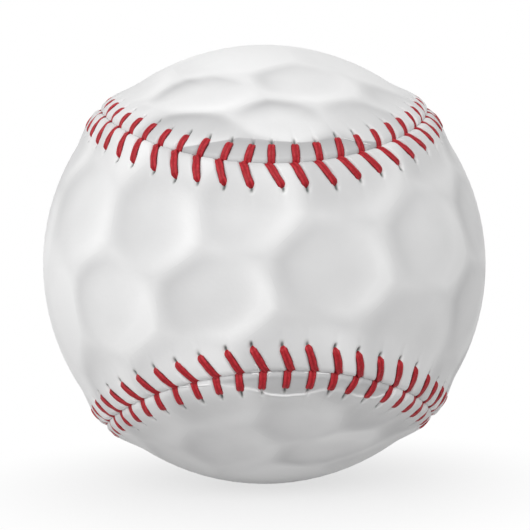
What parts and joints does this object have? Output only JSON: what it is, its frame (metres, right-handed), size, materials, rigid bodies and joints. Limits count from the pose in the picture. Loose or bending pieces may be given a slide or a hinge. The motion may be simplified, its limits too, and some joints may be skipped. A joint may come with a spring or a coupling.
{
  "type": "baseball",
  "caption": "Leather-covered ball with a raised red-stitched seam, figure-of-eight cover panels, yarn windings and a rubber-cased cork core.",
  "frame": {"origin": "centre of the ball", "axes": "the front panel's narrow middle faces -Y and its round lobes face +X and -X; the back panel's narrow middle faces +Y and its lobes face +Z and -Z"},
  "size_m": [0.0738, 0.0738, 0.0738],
  "materials": {
    "cork": "moulded cork granules bound with rubber",
    "black_rubber": "moulded, matt",
    "red_gasket": "cut from sheet, matt",
    "red_rubber": "moulded, matt",
    "grey_wool": "tightly wound plied wool",
    "white_wool": "tightly wound plied wool",
    "white_yarn": "tightly wound fine yarn",
    "adhesive": "dried latex film, slightly glossy",
    "leather": "smooth white leather with a pale grey printed honeycomb of dimples",
    "red_thread": "waxed plied cotton thread"
  },
  "bodies": {
    "root": {"cork_core": "cork", "black_cup_front": "black_rubber", "black_cup_back": "black_rubber", "gasket_ring": "red_gasket", "red_cup_left": "red_rubber", "red_cup_right": "red_rubber", "inner_grey_wool": "grey_wool", "middle_white_wool": "white_wool", "outer_grey_wool": "grey_wool", "finishing_yarn": "white_yarn", "adhesive_coat": "adhesive", "cover_panel_front": "leather", "cover_panel_back": "leather", "first_needle_thread": "red_thread", "second_needle_thread": "red_thread"}
  },
  "joints": []
}
